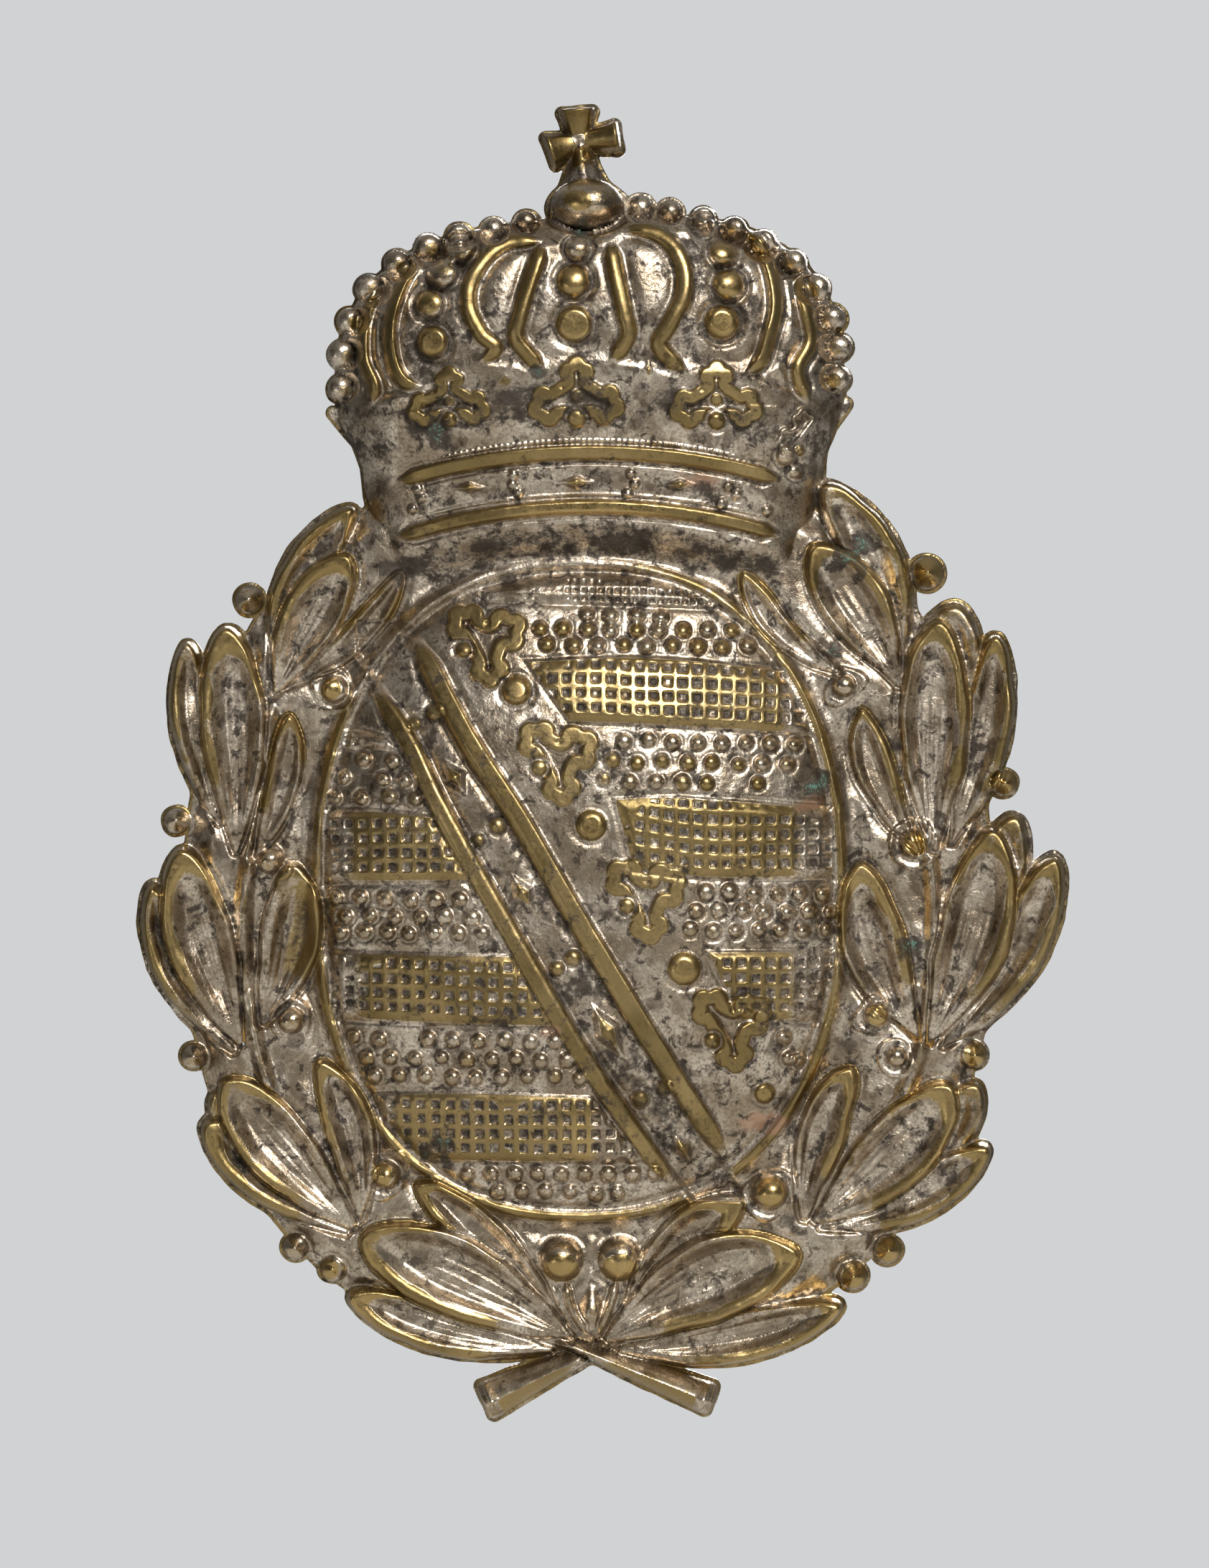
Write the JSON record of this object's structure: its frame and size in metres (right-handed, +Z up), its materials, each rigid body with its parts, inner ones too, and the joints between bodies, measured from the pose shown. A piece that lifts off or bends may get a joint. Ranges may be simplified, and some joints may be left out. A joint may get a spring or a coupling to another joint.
{
  "type": "cap badge",
  "caption": "Struck brass crowned laurel-wreath badge with a domed oval shield, hollow-backed, held to the cap by soldered screw posts with washers and square nuts.",
  "frame": {"origin": "centre of the circle through the three screw posts, on the plane of the rim's back", "axes": "+Z up the badge, from the crossed stems to the crown; the front faces -Y and the posts point along +Y; +X to the right as the front is seen"},
  "size_m": [0.069, 0.0154, 0.0985],
  "materials": {
    "worn_silvered_brass": "struck sheet brass, silver plate worn through to brass on the crests, tarnished",
    "post_brass": "turned, dull",
    "soft_solder": "dull grey tin-lead",
    "dark_leather": "vegetable tanned, darkened",
    "washer_brass": "stamped, dull",
    "nut_brass": "sawn and filed, dull"
  },
  "bodies": {
    "badge": {"face_stamping": "worn_silvered_brass", "upper_post": "post_brass", "upper_solder": "soft_solder", "lower_left_post": "post_brass", "lower_left_solder": "soft_solder", "lower_right_post": "post_brass", "lower_right_solder": "soft_solder"},
    "upper_washers": {"upper_leather_washer": "dark_leather", "upper_washer": "washer_brass"},
    "upper_nut": {"upper_nut": "nut_brass"},
    "lower_left_washers": {"lower_left_leather_washer": "dark_leather", "lower_left_washer": "washer_brass"},
    "lower_left_nut": {"lower_left_nut": "nut_brass"},
    "lower_right_washers": {"lower_right_leather_washer": "dark_leather", "lower_right_washer": "washer_brass"},
    "lower_right_nut": {"lower_right_nut": "nut_brass"}
  },
  "joints": [
    {"name": "upper_washer_slide", "type": "slide", "parent": "badge", "child": "upper_washers", "axis": [0, 1, 0], "range_m": [0, 0.0035]},
    {"name": "upper_nut_spin", "type": "hinge", "parent": "upper_washers", "child": "upper_nut", "pos_m": [0, 0.005, 0.027], "axis": [0, 1, 0], "range_deg": [0, 2520]},
    {"name": "lower_left_washer_slide", "type": "slide", "parent": "badge", "child": "lower_left_washers", "axis": [0, 1, 0], "range_m": [0, 0.0035]},
    {"name": "lower_left_nut_spin", "type": "hinge", "parent": "lower_left_washers", "child": "lower_left_nut", "pos_m": [-0.02338, 0.005, -0.0135], "axis": [0, 1, 0], "range_deg": [0, 2520]},
    {"name": "lower_right_washer_slide", "type": "slide", "parent": "badge", "child": "lower_right_washers", "axis": [0, 1, 0], "range_m": [0, 0.0035]},
    {"name": "lower_right_nut_spin", "type": "hinge", "parent": "lower_right_washers", "child": "lower_right_nut", "pos_m": [0.02338, 0.005, -0.0135], "axis": [0, 1, 0], "range_deg": [0, 2520]}
  ],
  "couplings": [
    {"joint": "upper_nut_spin", "follows": "upper_washer_slide", "rad_per_m": 12566},
    {"joint": "lower_left_nut_spin", "follows": "lower_left_washer_slide", "rad_per_m": 12566},
    {"joint": "lower_right_nut_spin", "follows": "lower_right_washer_slide", "rad_per_m": 12566}
  ]
}
